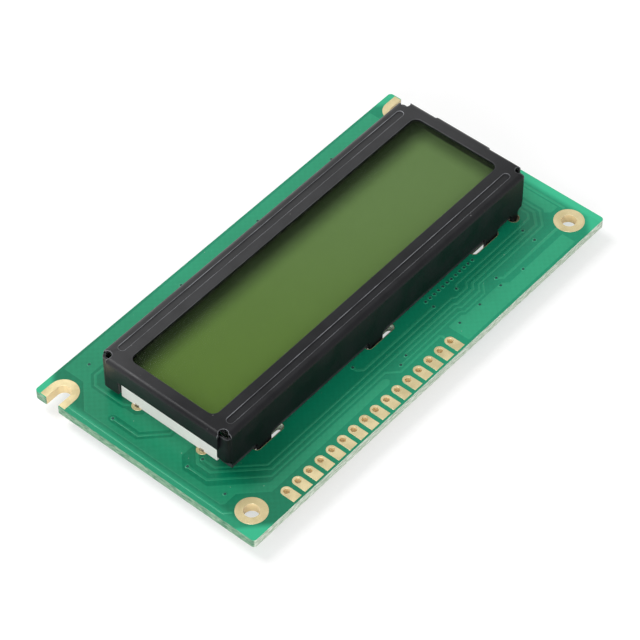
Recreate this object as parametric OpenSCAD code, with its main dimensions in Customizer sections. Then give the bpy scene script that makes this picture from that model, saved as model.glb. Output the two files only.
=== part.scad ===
// Character LCD module: a green circuit board that carries a liquid crystal
// cell and its backlight under a folded black steel bezel.
// Origin: centre of the board outline, on the plane that the module rests on.
// +X runs along the board, the header pads lie on the -Y edge, and the display
// looks along +Z.

/* [Board] */
// Length of the board
board_l = 84; // [80:0.5:110]
// Width of the board
board_w = 44; // [42:0.5:60]
// Thickness of the board
board_t = 1.6; // [1:0.1:2.4]
// Radius of the board's corners
board_corner_r = 0.6; // [0.2:0.1:1]
// Thickness of the gold-plated copper on the board's faces and in its holes
plate_t = 0.05; // [0.03:0.01:0.1]

/* [Mounting holes and open slots] */
// Distance of the mounting hole centres from the board's edges
mount_edge = 4; // [3.6:0.1:4.8]
// Diameter of the plated mounting holes, and width of the open slots
mount_d = 2.5; // [2:0.1:3.2]
// Outer diameter of the bare land round a mounting hole or slot
mount_land_d = 5; // [4.2:0.1:6]
// Distance of the centre of an open slot's round end from the board's end
open_slot_end = 2.5; // [1.5:0.1:4.5]
// Distance of an open slot's centre line from the board's far edge
open_slot_side = 3.6; // [3.2:0.1:4.5]
// Bare strip between an open slot's land and the board's end
open_slot_gap = 0.15; // [0.1:0.05:0.5]

/* [Header pads] */
// Number of header pads
pad_count = 16; // [8:1:16]
// Pitch of the header pads
pad_pitch = 2.54; // [2:0.02:2.6]
// Distance of the first header hole from the board's left end
pad_first = 10; // [8.5:0.1:12]
// Distance of the header holes from the board's edge
pad_row = 2.5; // [2:0.1:3]
// Width of a header pad
pad_w = 1.75; // [1.5:0.05:1.8]
// Diameter of a header hole
pad_hole_d = 1; // [0.8:0.05:1.1]
// Bare strip between a header pad and the board's edge
pad_end_gap = 0.35; // [0.2:0.05:0.6]

/* [Bezel] */
// Length of the bezel
bezel_l = 71.6; // [68:0.2:76]
// Width of the bezel
bezel_w = 25.5; // [25:0.1:28]
// Distance of the bezel's centre line from the board's, away from the header
bezel_shift = 1.55; // [0.5:0.05:2.5]
// Thickness of the sheet steel
sheet_t = 0.5; // [0.4:0.05:0.55]
// Outer radius of the bends round the top face
bend_r = 0.8; // [0.7:0.05:1]
// Gap between the long walls and the board
wall_gap = 1.6; // [1.2:0.1:2]
// Gap between the corner ears of the far wall and the board
ear_gap = 1.2; // [0.6:0.1:1.6]
// Gap between the corner ears of the near wall and the board
near_ear_gap = 2.3; // [0.6:0.1:3]
// Height of the short end walls
end_wall_h = 3.6; // [2.8:0.1:4.5]
// Length of a corner ear of the far wall, from the outside of the wall
ear_l = 3.3; // [2.2:0.1:4]
// Length of a corner ear of the near wall, from the outside of the wall
near_ear_l = 2.4; // [2.2:0.1:4]
// Outer radius of the vertical bend between a long wall and its ear
ear_bend_r = 0.75; // [0.7:0.05:1.2]
// Step back from the face of a long wall to its ears
ear_step = 0.1; // [0.05:0.05:0.1]
// Slack between an ear and the end wall that covers it
ear_slack = 0.1; // [0.05:0.05:0.2]
// Distance of the end walls' edges from the outside of the long walls
notch_w = 1.65; // [1.6:0.05:2.6]
// Radius of the round relief at the root of each corner notch
notch_r = 0.75; // [0.6:0.05:0.8]
// Width of the bezel's frame at the short ends of the window
frame_end = 2.4; // [2:0.1:4]
// Width of the bezel's frame along the long sides of the window
frame_side = 4.35; // [4.1:0.05:5.5]
// Radius of the window's corners
window_r = 1.2; // [0.5:0.1:2.5]
// Width of the pressed bead along each long side
bead_w = 1.2; // [0.8:0.1:1.4]
// Distance of a bead's centre line from the outside of the long wall
bead_inset = 2; // [1.7:0.05:2.2]
// Distance of a bead's ends from the bezel's end faces
bead_end = 2.8; // [2.4:0.1:6]
// Length of the raised pad on the right end wall
end_pad_l = 10.5; // [6:0.5:12]
// Height that the raised pad stands proud
end_pad_h = 0.25; // [0.1:0.05:0.4]

/* [Bezel tabs and their board slots] */
// Distance of the outer slots' centres from the bezel's end faces
slot_end = 10; // [8:0.1:12]
// Distance of the middle slot from the board's centre
slot_shift = -0.2; // [-1:0.1:1]
// Length of a slot
slot_l = 6.3; // [5:0.1:7]
// Width of a slot
slot_w = 1.35; // [1.25:0.05:1.6]
// Distance of a slot's centre line inside the middle of the long wall
slot_inset = 0.3; // [0.1:0.05:0.35]
// Width of the plated rim round a slot
slot_rim = 0.1; // [0.1:0.05:0.3]
// Width of a tab
tab_w = 3; // [2:0.1:3.2]
// Clearance between a tab and the end of its slot
tab_end_gap = 0.4; // [0.35:0.05:0.6]
// Length of a tab below the board
tab_out = 2.2; // [2:0.1:3]
// Angle that a tab is twisted below the board
tab_twist = 38; // [20:1:60]
// Width of the locating foot at the right end of the near wall
foot_w = 1.5; // [1.2:0.1:1.5]
// Distance of the locating foot from the bezel's right end face
foot_end = 3.05; // [2.95:0.05:4]
// Diameter of the foot's hole
foot_hole_d = 1.75; // [1.75:0.05:2.2]

/* [Display cell] */
// Height of the bezel's top face above the board
bezel_h = 8.6; // [8:0.1:10]
// Thickness of each glass plate
glass_t = 1.1; // [0.7:0.1:1.2]
// Thickness of the seal between the glass plates
cell_gap = 0.1; // [0.05:0.05:0.2]
// Width of the seal line
seal_w = 0.8; // [0.5:0.1:1.2]
// Thickness of a polariser, and depth of the pressed beads
film_t = 0.2; // [0.15:0.05:0.3]
// Lap of the front polariser under the long sides of the window
film_lap = 1.3; // [0.8:0.1:1.3]
// Lap of both polarisers under the short ends of the window
film_end_lap = 0.7; // [0.4:0.1:0.8]
// Clearance between the front glass and the long walls
glass_gap = 0.15; // [0.1:0.05:0.3]
// Clearance between both glass plates and the corner ears
glass_end_gap = 0.3; // [0.2:0.05:0.5]

/* [Elastomer strips] */
// Thickness of a strip
strip_t = 2.2; // [1.6:0.1:2.3]
// Gap between a strip and the long wall
strip_gap = 0.1; // [0.05:0.05:0.2]
// Gap between a strip's ends and the corner bends
strip_end_gap = 0.2; // [0.1:0.05:0.5]
// Gap between a strip and the rear glass
strip_slack = 0.25; // [0.1:0.05:0.3]
// Pitch of the contact fingers
finger_pitch = 1.36; // [1:0.02:2]
// Width of a contact finger
finger_w = 0.8; // [0.4:0.05:0.9]

/* [Backlight] */
// Clearance between the case and the corner ears
case_end_gap = 0.3; // [0.1:0.05:0.5]
// Distance of the case's sides inside the edges of the rear glass
case_inset = 0.1; // [0:0.05:0.4]
// Wall thickness of the backlight case
case_t = 1.3; // [1:0.1:1.6]
// Width of the ledge that carries the diffuser
ledge_w = 0.6; // [0.4:0.1:0.8]
// Thickness of the diffuser
diffuser_t = 0.6; // [0.4:0.1:1]
// Thickness of the LED board
led_board_t = 0.8; // [0.6:0.1:1]
// LED dies in each row
led_columns = 12; // [6:1:16]
// Rows of LED dies
led_rows = 2; // [1:1:3]
// Distance between the two backlight leads
lead_pitch = 13; // [10:0.5:14]
// Thickness of a lead
lead_t = 0.5; // [0.4:0.05:0.6]
// Diameter of a lead's plated hole
lead_hole_d = 1; // [0.9:0.05:1.2]
// Diameter of a lead's land
lead_land_d = 2; // [1.8:0.1:2.4]
// Length of a lead below the board
lead_out = 0.8; // [0.5:0.1:1.2]

/* [Rear side] */
// Diameter of the controller's potting
controller_d = 15; // [12:0.5:16]
// Diameter of the driver's potting
driver_d = 13; // [10:0.5:15]
// Height of the potting
potting_h = 1.7; // [1.2:0.1:1.8]
// Distance between the two pottings
potting_pitch = 30; // [26:1:36]
// Side of a silicon die
die_w = 4; // [3:0.1:5]
// Thickness of a silicon die
die_t = 0.4; // [0.3:0.05:0.5]
// Length of a chip resistor or capacitor
chip_l = 2; // [1.6:0.1:2.2]
// Width of a chip resistor or capacitor
chip_w = 1.25; // [0.8:0.05:1.3]
// Height of a chip resistor
resistor_h = 0.5; // [0.4:0.05:0.6]
// Height of a chip capacitor
capacitor_h = 0.9; // [0.7:0.05:1.2]
// Length of a chip's metal end
chip_end = 0.4; // [0.25:0.05:0.5]

/* [Hidden] */

$fn = 48;
eps = 0.01;

// Levels
board_z = tab_out;
top_z = board_z + board_t;
bezel_z = top_z + bezel_h;
under_z = bezel_z - sheet_t;
front_film_z = under_z - film_t;
front_glass_z = front_film_z - glass_t;
rear_glass_z = front_glass_z - cell_gap - glass_t;
rear_film_z = rear_glass_z - film_t;

// Bezel
wall_mid = bezel_w / 2 - sheet_t / 2;
ear_x = bezel_l / 2 - sheet_t - ear_slack;
wall_l = 2 * (ear_x - ear_bend_r);
end_wall_l = bezel_w - 2 * notch_w;
ear_top_gap = 0.4;
ear_root = 0.3;
notch_out = 0.6 * notch_r;
window_l = bezel_l - 2 * frame_end;
window_w = bezel_w - 2 * frame_side;
bead_y = bezel_w / 2 - bead_inset;
bead_l = bezel_l - 2 * bead_end;
bead_rim = 0.25;
end_pad_shift = 0.5;

// Tabs and slots
slot_pitch = bezel_l / 2 - slot_end;
slot_y = wall_mid - slot_inset;
tab_sides = [-1, -1, 1];
tab_shift = (slot_l - tab_w) / 2 - tab_end_gap;
root_r = 0.8;
tab_tip = 0.6;
foot_x = bezel_l / 2 - foot_end;
foot_tip = 0.3;
foot_land_w = 0.12;

// Display
front_glass_w = bezel_w - 2 * (sheet_t + glass_gap);
glass_l = 2 * (ear_x - sheet_t - glass_end_gap);
film_l = window_l + 2 * film_end_lap;
front_film_w = window_w + 2 * film_lap;
film_margin = 0.3;

// Elastomer strips
strip_y = bezel_w / 2 - sheet_t - strip_gap - strip_t / 2;
strip_inner = strip_y - strip_t / 2;
strip_l = 2 * (ear_x - ear_bend_r - ear_root - strip_end_gap);
rear_glass_w = 2 * (strip_inner - strip_slack);
finger_outer = slot_y - slot_w / 2 - slot_rim - 0.1;
finger_count = floor((strip_l - 2) / finger_pitch);

// Backlight
case_l = 2 * (ear_x - sheet_t - case_end_gap);
case_w = rear_glass_w - 2 * case_inset;
case_z = top_z + plate_t;
cavity_l = case_l - 2 * case_t;
cavity_w = case_w - 2 * case_t;
fit = 0.1;
led_board_z = top_z + lead_t;
die_side = 0.5;
die_h = 0.25;
lead_w = 0.6;
lead_x = -case_l / 2 + lead_t / 2;
lead_reach = 3;
fillet_h = 0.6;

// Rear side
chip_row_y = -board_w / 2 + 7;
resistor_x = [-18, -15, -12, -9, 8, 11, 14, 17];
capacitor_x = [-5, -1, 3, 21];
chip_toe = 0.45;

// ---- Shared shapes ----

// Rectangle of l by w with round corners, centred
module rounded_plate(l, w, r) {
    square([l - 2 * r, w], center = true);
    square([l, w - 2 * r], center = true);
    for (sx = [-1, 1], sy = [-1, 1])
        translate([sx * (l / 2 - r), sy * (w / 2 - r)]) circle(r = r);
}

// Slot of length l and width w with round ends, along X
module slot_outline(l, w) {
    square([l - w, w], center = true);
    for (s = [-1, 1]) translate([s * (l - w) / 2, 0]) circle(d = w);
}

// Plate of the outline given as a child on both faces of the board
module on_both_faces() {
    for (z = [board_z - plate_t, top_z])
        translate([0, 0, z]) linear_extrude(plate_t) children();
}

// Plated hole of bore d: a barrel through the board between two lands,
// whose outline is the child
module plated_hole(d) {
    difference() {
        union() {
            on_both_faces() children();
            translate([0, 0, board_z - plate_t])
                cylinder(d = d + 2 * plate_t, h = board_t + 2 * plate_t);
        }
        translate([0, 0, board_z - 1]) cylinder(d = d, h = board_t + 2);
    }
}

// Hole of diameter d right through the board
module drill(d) {
    translate([0, 0, board_z - 1]) cylinder(d = d, h = board_t + 2);
}

// Puts the children at each header hole
module at_header_holes() {
    for (i = [0 : pad_count - 1])
        translate([-board_l / 2 + pad_first + i * pad_pitch, -board_w / 2 + pad_row, 0])
            children();
}

// Puts the children at both mounting holes
module at_mount_holes() {
    for (s = [-1, 1])
        translate([s * (board_l / 2 - mount_edge), -board_w / 2 + mount_edge, 0])
            children();
}

// Puts the children at both open slots, with +X towards the open end
module at_open_slots() {
    for (s = [0, 1]) mirror([s, 0, 0])
        translate([board_l / 2 - open_slot_end, board_w / 2 - open_slot_side, 0])
            children();
}

// Puts the children at the six bezel slots
module at_tab_slots() {
    for (sy = [-1, 1], i = [-1 : 1])
        translate([
            slot_shift + i * slot_pitch,
            bezel_shift + sy * slot_y,
            0
        ]) children();
}

// Puts the children at the two backlight leads
module at_leads() {
    for (s = [-1, 1])
        translate([lead_x, bezel_shift + s * lead_pitch / 2, 0]) children();
}

// Puts the child's hole at the bezel's locating foot
module at_foot() {
    translate([foot_x, bezel_shift - wall_mid, 0]) children();
}

// ---- Board ----

module pcb() {
    color("#2c9a68") difference() {
        translate([0, 0, board_z])
            linear_extrude(board_t) rounded_plate(board_l, board_w, board_corner_r);
        at_header_holes() drill(pad_hole_d + 2 * plate_t);
        at_mount_holes() drill(mount_d + 2 * plate_t);
        at_leads() drill(lead_hole_d + 2 * plate_t);
        at_foot() drill(foot_hole_d + 2 * plate_t);
        at_open_slots() translate([0, 0, board_z - 1])
            linear_extrude(board_t + 2) open_outline(mount_d + 2 * plate_t);
        at_tab_slots() translate([0, 0, board_z - 1])
            linear_extrude(board_t + 2) slot_outline(slot_l, slot_w);
    }
}

module header_pad_outline() {
    circle(d = pad_w);
    translate([-pad_w / 2, -pad_row + pad_end_gap])
        square([pad_w, pad_row - pad_end_gap]);
}

module header_pads() {
    color("#dccb92") at_header_holes() plated_hole(pad_hole_d) header_pad_outline();
}

module mount_lands() {
    color("#dccb92") at_mount_holes() plated_hole(mount_d) circle(d = mount_land_d);
}

// Outline of width w round an open slot: a round end, and two straight
// sides that run off the board's end
module open_outline(w) {
    circle(d = w);
    translate([0, -w / 2]) square([open_slot_end + 1, w]);
}

// Each slot's U-shaped lands are joined by the plating on the slot's wall
module open_slot_lands() {
    color("#dccb92") at_open_slots() intersection() {
        difference() {
            union() {
                on_both_faces() open_outline(mount_land_d);
                translate([0, 0, board_z - plate_t])
                    linear_extrude(board_t + 2 * plate_t)
                        open_outline(mount_d + 2 * plate_t);
            }
            translate([0, 0, board_z - 1])
                linear_extrude(board_t + 2) open_outline(mount_d);
        }
        translate([-mount_land_d, -mount_land_d, 0]) cube([
            mount_land_d + open_slot_end - open_slot_gap,
            2 * mount_land_d,
            top_z + 1
        ]);
    }
}

// Thin plated rims on both faces round the bezel slots, and the foot's plated hole
module tab_slot_rims() {
    color("#dccb92") {
        at_tab_slots() on_both_faces() difference() {
            slot_outline(slot_l + 2 * slot_rim, slot_w + 2 * slot_rim);
            slot_outline(slot_l, slot_w);
        }
        at_foot() plated_hole(foot_hole_d)
            circle(d = foot_hole_d + 2 * foot_land_w);
    }
}

module backlight_lands() {
    color("#dccb92") at_leads() plated_hole(lead_hole_d) circle(d = lead_land_d);
}

// Two rows of bare fingers that the elastomer strips press on
module contact_fingers() {
    color("#dccb92")
        for (s = [0, 1], i = [0 : finger_count - 1])
            translate([0, bezel_shift, 0]) mirror([0, s, 0])
                translate([
                    (i - (finger_count - 1) / 2) * finger_pitch - finger_w / 2,
                    strip_inner,
                    top_z
                ]) cube([finger_w, finger_outer - strip_inner, plate_t]);
}

// ---- Bezel ----

// Section of a channel folded from sheet: the top face lies on y = 0
// and both legs hang down to y = -h
module fold_section(w, h) {
    difference() {
        fold_outline(w, h, bend_r);
        translate([0, -sheet_t]) fold_outline(w - 2 * sheet_t, h, bend_r - sheet_t);
    }
}

// Rectangle of w by h below y = 0, with its two top corners rounded
module fold_outline(w, h, r) {
    translate([-w / 2, -h]) square([w, h - r]);
    translate([-w / 2 + r, -h]) square([w - 2 * r, h]);
    for (s = [-1, 1]) translate([s * (w / 2 - r), -r]) circle(r = r);
}

// Plan of the +X +Y corner ear: a strip of the long wall, set back a little,
// turns the corner and runs on behind the end wall for l
module ear_plan(l) {
    bend_x = ear_x - ear_bend_r;
    face_y = bezel_w / 2 - ear_step;
    translate([bend_x, face_y - ear_bend_r]) difference() {
        intersection() {
            circle(r = ear_bend_r);
            square(ear_bend_r);
        }
        circle(r = ear_bend_r - sheet_t);
    }
    translate([bend_x - ear_root, face_y - sheet_t]) square([ear_root, sheet_t]);
    translate([ear_x - sheet_t, bezel_w / 2 - l])
        square([sheet_t, l - ear_step - ear_bend_r]);
}

// Ear of length l whose lower edge stands gap above the board
module ear(l, gap) {
    ear_z = top_z + gap;
    translate([0, 0, ear_z])
        linear_extrude(under_z - ear_top_gap - ear_z) ear_plan(l);
}

module ears() {
    for (sx = [0, 1]) mirror([sx, 0, 0]) {
        ear(ear_l, ear_gap);
        mirror([0, 1, 0]) ear(near_ear_l, near_ear_gap);
    }
}

// Outline of a wall's lower edge where a tab of width w hangs from it:
// the concave roots on both sides, with y = 0 on the edge
module root_outline(w) {
    for (s = [0, 1]) mirror([s, 0])
        translate([w / 2, -root_r]) difference() {
            square(root_r);
            translate([root_r, 0]) circle(r = root_r);
        }
}

// Sheet cut to the outline given as a child, standing on the wall's middle
module wall_sheet() {
    rotate([90, 0, 0]) linear_extrude(sheet_t, center = true) children();
}

// A tab drops through its slot and is twisted below the board
module tab() {
    wall_z = top_z + wall_gap;
    translate([0, 0, wall_z]) wall_sheet() root_outline(tab_w);
    translate([-tab_w / 2, -sheet_t / 2, board_z])
        cube([tab_w, sheet_t, wall_z - board_z + eps]);
    rotate(tab_twist) {
        translate([0, 0, tab_tip])
            linear_extrude(board_z - tab_tip, twist = tab_twist, slices = 5, segments = 4)
                square([tab_w, sheet_t], center = true);
        translate([-tab_w / 2, -sheet_t / 2, 0]) cube([tab_w, sheet_t, tab_tip]);
    }
}

module tabs() {
    for (s = [0, 1], i = [0 : 2])
        mirror([0, s, 0])
            translate([
                slot_shift + (i - 1) * slot_pitch + tab_sides[i] * tab_shift,
                wall_mid,
                0
            ]) tab();
}

// Round-ended foot that locates the bezel in its plated hole
module foot() {
    wall_z = top_z + wall_gap;
    tip_z = board_z + foot_tip + foot_w / 2;
    translate([foot_x, -wall_mid, 0]) wall_sheet() {
        translate([0, wall_z]) root_outline(foot_w);
        translate([0, tip_z]) circle(d = foot_w);
        translate([-foot_w / 2, tip_z]) square([foot_w, wall_z - tip_z + eps]);
    }
}

// The bead's floor, pressed down below the sheet's underside
module bead_floors() {
    for (s = [-1, 1])
        translate([0, s * bead_y, under_z - film_t])
            linear_extrude(film_t + eps)
                slot_outline(bead_l + 2 * bead_rim, bead_w + 2 * bead_rim);
}

module bezel_openings() {
    translate([0, 0, under_z - film_t - 1])
        linear_extrude(sheet_t + film_t + 2)
            rounded_plate(window_l, window_w, window_r);
    for (s = [-1, 1])
        translate([0, s * bead_y, bezel_z - film_t])
            linear_extrude(1) slot_outline(bead_l, bead_w);
    for (sx = [-1, 1], sy = [-1, 1])
        translate([
            sx * (wall_l / 2 + notch_out),
            sy * (end_wall_l / 2 + notch_out),
            under_z - ear_top_gap
        ]) cylinder(r = notch_r, h = sheet_t + ear_top_gap + 1);
}

// Stretch of the right end wall that is pressed outward, bend and all
module end_pad() {
    intersection() {
        translate([end_pad_h, end_pad_shift, bezel_z])
            rotate([90, 0, 0]) linear_extrude(end_pad_l, center = true)
                fold_section(bezel_l, end_wall_h);
        translate([bezel_l / 2 - bend_r - sheet_t, -bezel_w / 2, bezel_z - end_wall_h])
            cube([bend_r + 2 * sheet_t, bezel_w, end_wall_h]);
    }
}

module bezel() {
    color("#26282b") translate([0, bezel_shift, 0]) {
        difference() {
            union() {
                translate([0, 0, bezel_z]) {
                    rotate([90, 0, 90]) linear_extrude(wall_l, center = true)
                        fold_section(bezel_w, bezel_h - wall_gap);
                    rotate([90, 0, 0]) linear_extrude(end_wall_l, center = true)
                        fold_section(bezel_l, end_wall_h);
                }
                bead_floors();
                end_pad();
            }
            bezel_openings();
        }
        ears();
        tabs();
        foot();
    }
}

// ---- Display cell ----

// Layer of the display, centred in the bezel: l by w by t, with its rear on z
module layer(l, w, t, z) {
    translate([-l / 2, bezel_shift - w / 2, z]) cube([l, w, t]);
}

module front_polariser() {
    color("#8a9a4a") layer(film_l, front_film_w, film_t, front_film_z);
}

module front_glass() {
    color("#c9d6c4") layer(glass_l, front_glass_w, glass_t, front_glass_z);
}

module cell_seal() {
    seal_z = rear_glass_z + glass_t;
    color("#b8b48c") difference() {
        layer(glass_l, rear_glass_w, cell_gap, seal_z);
        layer(glass_l - 2 * seal_w, rear_glass_w - 2 * seal_w, cell_gap + 2, seal_z - 1);
    }
}

module liquid_crystal_film() {
    color("#7f9440") layer(
        glass_l - 2 * seal_w,
        rear_glass_w - 2 * seal_w,
        cell_gap,
        rear_glass_z + glass_t
    );
}

module rear_glass() {
    color("#c9d6c4") layer(glass_l, rear_glass_w, glass_t, rear_glass_z);
}

module rear_polariser() {
    color("#7d9a2e") layer(film_l, rear_glass_w - 2 * film_margin, film_t, rear_film_z);
}

// ---- Elastomer strips ----

module elastomer_strip(side) {
    color("#4a4d50") translate([
        -strip_l / 2,
        bezel_shift + side * strip_y - strip_t / 2,
        case_z
    ]) cube([strip_l, strip_t, front_glass_z - case_z]);
}

module elastomer_strip_near() {
    elastomer_strip(-1);
}

module elastomer_strip_far() {
    elastomer_strip(1);
}

// ---- Backlight ----

// White frame, open below for the LED board and stepped above for the diffuser
module backlight_case() {
    color("#e9e9e4") difference() {
        layer(case_l, case_w, rear_film_z - case_z, case_z);
        layer(cavity_l, cavity_w, rear_film_z - case_z + 2, case_z - 1);
        layer(
            cavity_l + 2 * ledge_w,
            cavity_w + 2 * ledge_w,
            diffuser_t + 1,
            rear_film_z - diffuser_t
        );
        at_leads() translate([-lead_t / 2 - 1, -lead_w / 2 - fit, case_z - 1])
            cube([case_t + 2, lead_w + 2 * fit, led_board_z - case_z + 1]);
    }
}

module backlight_diffuser() {
    color("#f2f4d8") layer(
        cavity_l + 2 * (ledge_w - fit),
        cavity_w + 2 * (ledge_w - fit),
        diffuser_t,
        rear_film_z - diffuser_t
    );
}

module led_board() {
    color("#e4e0c8")
        layer(cavity_l - 2 * fit, cavity_w - 2 * fit, led_board_t, led_board_z);
}

module led_dies() {
    pitch_x = cavity_l / led_columns;
    pitch_y = cavity_w / led_rows;
    color("#d9d94a")
        for (i = [0 : led_columns - 1], j = [0 : led_rows - 1])
            translate([
                (i - (led_columns - 1) / 2) * pitch_x - die_side / 2,
                bezel_shift + (j - (led_rows - 1) / 2) * pitch_y - die_side / 2,
                led_board_z + led_board_t
            ]) cube([die_side, die_side, die_h]);
}

// Flat lead: one leg under the LED board and one down through the board
module backlight_leads() {
    color("#c8c8c2") at_leads() {
        translate([-lead_t / 2, -lead_w / 2, board_z - lead_out])
            cube([lead_t, lead_w, lead_out + board_t + lead_t]);
        translate([-lead_t / 2, -lead_w / 2, case_z])
            cube([lead_reach, lead_w, led_board_z - case_z]);
    }
}

// Solder that fills the lead's hole and rises along its tail
module lead_solder() {
    color("#b9bcc0") at_leads() difference() {
        union() {
            translate([0, 0, board_z - plate_t - fillet_h])
                cylinder(r1 = lead_w / 2 + 0.1, r2 = lead_land_d / 2 - fit, h = fillet_h);
            translate([0, 0, board_z - plate_t])
                cylinder(d = lead_hole_d - 0.02, h = board_t + 2 * plate_t);
        }
        translate([-lead_t / 2, -lead_w / 2, 0]) cube([lead_t, lead_w, case_z + 1]);
    }
}

// ---- Rear side ----

// Silicon die on the board's rear face, centred on x
module die(x) {
    color("#6d7078") translate([x - die_w / 2, bezel_shift - die_w / 2, board_z - die_t])
        cube([die_w, die_w, die_t]);
}

module controller_die() {
    die(-potting_pitch / 2);
}

module driver_die() {
    die(potting_pitch / 2);
}

// Low black dome of base diameter d that covers the die at x
module potting(d, x) {
    cap_r = (d * d / 4 + potting_h * potting_h) / (2 * potting_h);
    color("#161616") difference() {
        translate([x, bezel_shift, 0]) intersection() {
            translate([0, 0, board_z - potting_h + cap_r]) sphere(r = cap_r, $fn = 96);
            translate([0, 0, board_z - potting_h - 1])
                cylinder(d = d + 1, h = potting_h + 1);
        }
        translate([x - die_w / 2, bezel_shift - die_w / 2, board_z - die_t])
            cube([die_w, die_w, die_t + 1]);
    }
}

module controller_potting() {
    potting(controller_d, -potting_pitch / 2);
}

module driver_potting() {
    potting(driver_d, potting_pitch / 2);
}

// Middle of a chip part of height h on the rear face, upright at x
module chip_body(x, h) {
    translate([x - chip_w / 2, chip_row_y - chip_l / 2 + chip_end, board_z - h])
        cube([chip_w, chip_l - 2 * chip_end, h]);
}

// The two metal ends of a chip part
module chip_ends(x, h) {
    for (s = [0, 1])
        translate([
            x - chip_w / 2,
            chip_row_y - chip_l / 2 + s * (chip_l - chip_end),
            board_z - h
        ]) cube([chip_w, chip_end, h]);
}

// Solder wedges that rise up the ends of a chip part
module chip_wedges(x, h) {
    rise = min(h, resistor_h) * 0.8;
    for (s = [0, 1])
        translate([x, chip_row_y, board_z]) mirror([0, s, 0])
            translate([-chip_w / 2, chip_l / 2, 0])
                rotate([90, 0, 90]) linear_extrude(chip_w)
                    polygon([[0, 0], [chip_toe, 0], [0, -rise]]);
}

module chip_resistors() {
    color("#23252b") for (x = resistor_x) chip_body(x, resistor_h);
}

module chip_capacitors() {
    color("#b08a5c") for (x = capacitor_x) chip_body(x, capacitor_h);
}

module chip_terminals() {
    color("#c9ccd0") {
        for (x = resistor_x) chip_ends(x, resistor_h);
        for (x = capacitor_x) chip_ends(x, capacitor_h);
    }
}

module chip_solder() {
    color("#b9bcc0") {
        for (x = resistor_x) chip_wedges(x, resistor_h);
        for (x = capacitor_x) chip_wedges(x, capacitor_h);
    }
}

pcb();
header_pads();
mount_lands();
open_slot_lands();
tab_slot_rims();
backlight_lands();
contact_fingers();
bezel();
front_polariser();
front_glass();
cell_seal();
liquid_crystal_film();
rear_glass();
rear_polariser();
elastomer_strip_near();
elastomer_strip_far();
backlight_case();
backlight_diffuser();
led_board();
led_dies();
backlight_leads();
lead_solder();
controller_die();
driver_die();
controller_potting();
driver_potting();
chip_resistors();
chip_capacitors();
chip_terminals();
chip_solder();
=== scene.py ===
"""A character LCD module: a green circuit board that carries a liquid crystal
panel and its backlight under a folded black steel bezel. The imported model
gives the pieces' sizes and places. This script adds the etched copper, and
softens, dresses and lights the whole."""

import logging
import math
from dataclasses import dataclass
from enum import Enum
from typing import Iterable

import bmesh
import bpy
from mathutils import Matrix, Vector, noise
from mathutils.bvhtree import BVHTree

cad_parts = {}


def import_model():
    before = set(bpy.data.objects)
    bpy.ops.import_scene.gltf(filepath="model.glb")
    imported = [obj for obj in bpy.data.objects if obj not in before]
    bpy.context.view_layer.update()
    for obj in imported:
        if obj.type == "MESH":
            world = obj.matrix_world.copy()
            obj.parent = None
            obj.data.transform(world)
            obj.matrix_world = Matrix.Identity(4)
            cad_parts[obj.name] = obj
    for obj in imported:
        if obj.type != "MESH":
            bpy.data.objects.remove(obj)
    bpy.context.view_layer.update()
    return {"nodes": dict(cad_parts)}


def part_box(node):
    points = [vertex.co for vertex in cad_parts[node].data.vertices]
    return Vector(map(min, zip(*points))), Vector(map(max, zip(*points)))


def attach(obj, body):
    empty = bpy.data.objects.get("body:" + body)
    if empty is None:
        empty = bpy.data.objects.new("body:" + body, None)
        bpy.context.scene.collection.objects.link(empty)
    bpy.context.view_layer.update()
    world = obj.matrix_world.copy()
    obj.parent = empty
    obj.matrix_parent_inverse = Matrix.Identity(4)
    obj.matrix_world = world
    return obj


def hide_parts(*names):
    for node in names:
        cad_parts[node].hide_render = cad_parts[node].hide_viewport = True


LOG = logging.getLogger("lcd_module")
MM = 0.001
Colour = tuple[float, float, float]
Point = tuple[float, float]
Span = tuple[float, float]
Socket = bpy.types.NodeSocket
Form = bmesh.types.BMesh
Value = Socket | float
Tone = Socket | Colour


class Slot(Enum):
    """The record's material slots, named for the finished pieces."""

    MASK = "solder_mask"
    GOLD = "gold"
    STEEL = "black_steel"
    POLARISER = "polariser"
    GLASS = "cell_glass"
    WHITE = "white_plastic"
    TINNED = "tinned"
    POTTING = "potting"
    RESISTOR = "resistor"
    CAPACITOR = "capacitor"


class Face(Enum):
    """The two faces of the board, as the sign of their outward Z."""

    FRONT = 1
    REAR = -1


# ---- Shader building blocks ----


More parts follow.
